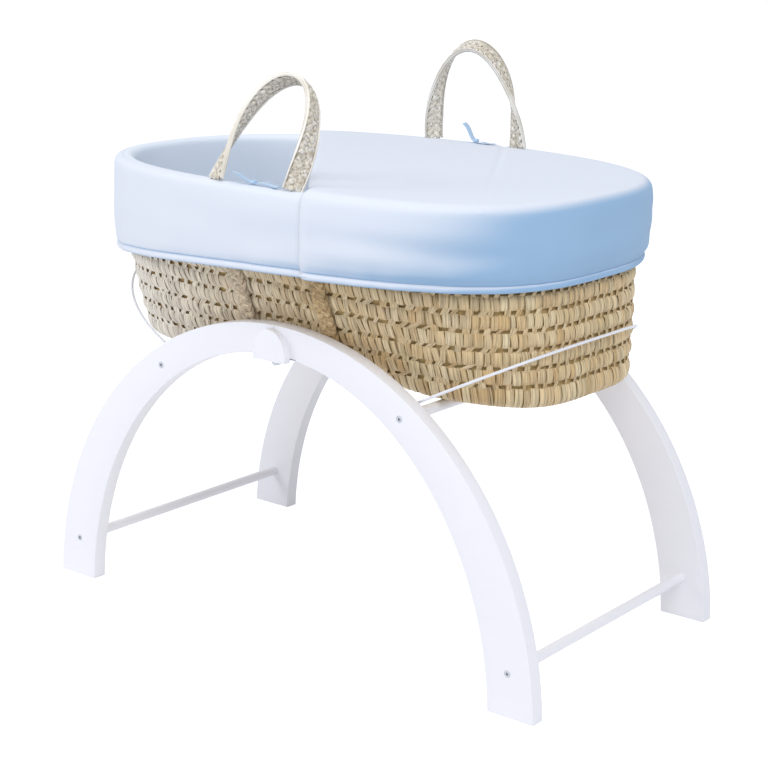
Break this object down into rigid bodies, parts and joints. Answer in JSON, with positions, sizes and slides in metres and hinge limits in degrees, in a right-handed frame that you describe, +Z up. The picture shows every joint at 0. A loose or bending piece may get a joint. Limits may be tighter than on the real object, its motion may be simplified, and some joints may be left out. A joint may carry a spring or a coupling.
{
  "type": "moses basket on folding stand",
  "caption": "Coiled palm moses basket with pale blue padded dressing, coverlet and plaited handles, carried on a white arched stand that folds at its hinges and has rod hoops at its ends.",
  "frame": {"origin": "on the floor below the fold hinges, halfway between the two arches", "axes": "+X towards the foot end of the basket, +Y to the rear arch, +Z up"},
  "size_m": [0.88, 0.5774, 0.8115],
  "materials": {
    "white_paint": "satin paint",
    "white_rod": "satin",
    "zinc": "zinc plated",
    "palm": "woven palm leaf",
    "plait": "plaited palm leaf",
    "blue_jersey": "padded jersey",
    "ribbon": "satin ribbon",
    "cotton": "cotton sheet"
  },
  "bodies": {
    "right_frame": {"front_right_leg": "white_paint", "rear_right_leg": "white_paint", "right_lower_rail": "white_paint", "right_upper_rail": "white_paint", "right_rail_screws": "zinc", "front_hinge_leaf_right": "zinc", "rear_hinge_leaf_right": "zinc", "front_hinge_pin": "zinc", "rear_hinge_pin": "zinc", "right_hinge_screws": "zinc", "front_hinge_cover": "white_paint", "rear_hinge_cover": "white_paint"},
    "left_frame": {"front_left_leg": "white_paint", "rear_left_leg": "white_paint", "left_lower_rail": "white_paint", "left_upper_rail": "white_paint", "left_rail_screws": "zinc", "front_hinge_leaf_left": "zinc", "rear_hinge_leaf_left": "zinc", "left_hinge_screws": "zinc"},
    "right_hoop": {"right_retaining_hoop": "white_rod"},
    "left_hoop": {"left_retaining_hoop": "white_rod"},
    "basket": {"palm_basket": "palm", "mattress": "cotton", "dressing": "blue_jersey", "coverlet": "blue_jersey", "front_handle_straps": "plait", "rear_handle_straps": "plait", "front_ribbon": "ribbon", "rear_ribbon": "ribbon"},
    "front_handle": {"front_handle": "plait"},
    "rear_handle": {"rear_handle": "plait"}
  },
  "joints": [
    {"name": "fold", "type": "hinge", "parent": "right_frame", "child": "left_frame", "pos_m": [0, 0, 0.407], "axis": [0, -1, 0], "range_deg": [0, 78]},
    {"name": "right_hoop_swing", "type": "hinge", "parent": "right_frame", "child": "right_hoop", "pos_m": [0.21609, 0, 0.38], "axis": [0, 1, 0], "range_deg": [0, 64]},
    {"name": "left_hoop_swing", "type": "hinge", "parent": "left_frame", "child": "left_hoop", "pos_m": [-0.21609, 0, 0.38], "axis": [0, -1, 0], "range_deg": [0, 64]},
    {"name": "basket_lift", "type": "slide", "parent": "right_frame", "child": "basket", "axis": [0, 0, 1], "range_m": [0, 0.25]},
    {"name": "front_handle_swing", "type": "hinge", "parent": "basket", "child": "front_handle", "pos_m": [-0.007, -0.2652, 0.65586], "axis": [-0.9999, 0, 0.0118], "range_deg": [-110, 35]},
    {"name": "rear_handle_swing", "type": "hinge", "parent": "basket", "child": "rear_handle", "pos_m": [-0.029, 0.2652, 0.66267], "axis": [0.9999, 0, -0.0106], "range_deg": [-80, 60]}
  ]
}
